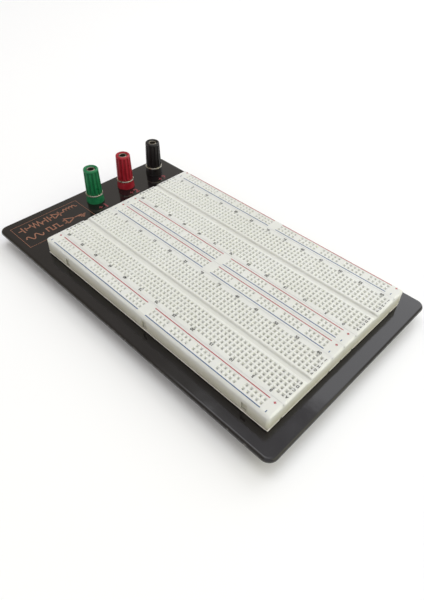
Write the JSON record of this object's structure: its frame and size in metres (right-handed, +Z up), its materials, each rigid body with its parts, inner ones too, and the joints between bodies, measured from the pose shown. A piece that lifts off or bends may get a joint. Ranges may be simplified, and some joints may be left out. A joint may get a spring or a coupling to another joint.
{
  "type": "solderless breadboard",
  "caption": "Long solderless breadboard of perforated white strips on a black base plate, with coloured screw-down binding posts at one end.",
  "frame": {"origin": "centre of the plate's rectangle, on the plane that the feet stand on", "axes": "+X along the strips, away from the binding posts; +Y across the strips, from the front to the back; +Z up"},
  "size_m": [0.216, 0.13, 0.0337],
  "materials": {
    "plate_enamel": "glossy black enamel",
    "foot_rubber": "matt",
    "adhesive_foam": "closed-cell foam tape",
    "strip_plastic": "satin moulded ABS",
    "clip_metal": "plated spring strip",
    "plated_brass": "nickel plated, turned",
    "hardware_steel": "zinc plated",
    "green_plastic": "satin moulded",
    "red_plastic": "satin moulded",
    "black_plastic": "satin moulded"
  },
  "bodies": {
    "base": {"base_plate": "plate_enamel", "foot_front_left": "foot_rubber", "foot_front_right": "foot_rubber", "foot_back_left": "foot_rubber", "foot_back_right": "foot_rubber", "foam_pad_terminal_strip_1": "adhesive_foam", "foam_pad_terminal_strip_2": "adhesive_foam", "foam_pad_bus_strip_1": "adhesive_foam", "foam_pad_bus_strip_2": "adhesive_foam", "foam_pad_bus_strip_3": "adhesive_foam", "foam_pad_bus_strip_4": "adhesive_foam", "terminal_strip_1": "strip_plastic", "terminal_strip_2": "strip_plastic", "bus_strip_1": "strip_plastic", "bus_strip_2": "strip_plastic", "bus_strip_3": "strip_plastic", "bus_strip_4": "strip_plastic", "terminal_clips_1_a_e": "clip_metal", "terminal_clips_1_f_j": "clip_metal", "terminal_clips_2_a_e": "clip_metal", "terminal_clips_2_f_j": "clip_metal", "bus_clips_1_minus": "clip_metal", "bus_clips_1_plus": "clip_metal", "bus_clips_2_minus": "clip_metal", "bus_clips_2_plus": "clip_metal", "bus_clips_3_minus": "clip_metal", "bus_clips_3_plus": "clip_metal", "bus_clips_4_minus": "clip_metal", "bus_clips_4_plus": "clip_metal", "green_post_collar": "green_plastic", "green_post_stud": "plated_brass", "green_post_lower_bush": "green_plastic", "green_post_lock_washer": "hardware_steel", "green_post_nuts": "hardware_steel", "green_post_lug": "hardware_steel", "red_post_collar": "red_plastic", "red_post_stud": "plated_brass", "red_post_lower_bush": "red_plastic", "red_post_lock_washer": "hardware_steel", "red_post_nuts": "hardware_steel", "red_post_lug": "hardware_steel", "black_post_collar": "black_plastic", "black_post_stud": "plated_brass", "black_post_lower_bush": "black_plastic", "black_post_lock_washer": "hardware_steel", "black_post_nuts": "hardware_steel", "black_post_lug": "hardware_steel"},
    "green_washer": {"green_post_washer": "plated_brass"},
    "green_cap": {"green_post_cap": "green_plastic", "green_post_insert": "plated_brass"},
    "red_washer": {"red_post_washer": "plated_brass"},
    "red_cap": {"red_post_cap": "red_plastic", "red_post_insert": "plated_brass"},
    "black_washer": {"black_post_washer": "plated_brass"},
    "black_cap": {"black_post_cap": "black_plastic", "black_post_insert": "plated_brass"}
  },
  "joints": [
    {"name": "green_washer_lift", "type": "slide", "parent": "base", "child": "green_washer", "axis": [0, 0, 1], "range_m": [0, 0.0045]},
    {"name": "green_cap_turn", "type": "hinge", "parent": "green_washer", "child": "green_cap", "pos_m": [-0.0936, -0.003, 0.0163], "axis": [0, 0, 1], "range_deg": [0, 2160]},
    {"name": "red_washer_lift", "type": "slide", "parent": "base", "child": "red_washer", "axis": [0, 0, 1], "range_m": [0, 0.0045]},
    {"name": "red_cap_turn", "type": "hinge", "parent": "red_washer", "child": "red_cap", "pos_m": [-0.0936, 0.0224, 0.0163], "axis": [0, 0, 1], "range_deg": [0, 2160]},
    {"name": "black_washer_lift", "type": "slide", "parent": "base", "child": "black_washer", "axis": [0, 0, 1], "range_m": [0, 0.0045]},
    {"name": "black_cap_turn", "type": "hinge", "parent": "black_washer", "child": "black_cap", "pos_m": [-0.0936, 0.0478, 0.0163], "axis": [0, 0, 1], "range_deg": [0, 2160]}
  ],
  "couplings": [
    {"joint": "green_cap_turn", "follows": "green_washer_lift", "rad_per_m": 8377.6},
    {"joint": "red_cap_turn", "follows": "red_washer_lift", "rad_per_m": 8377.6},
    {"joint": "black_cap_turn", "follows": "black_washer_lift", "rad_per_m": 8377.6}
  ]
}
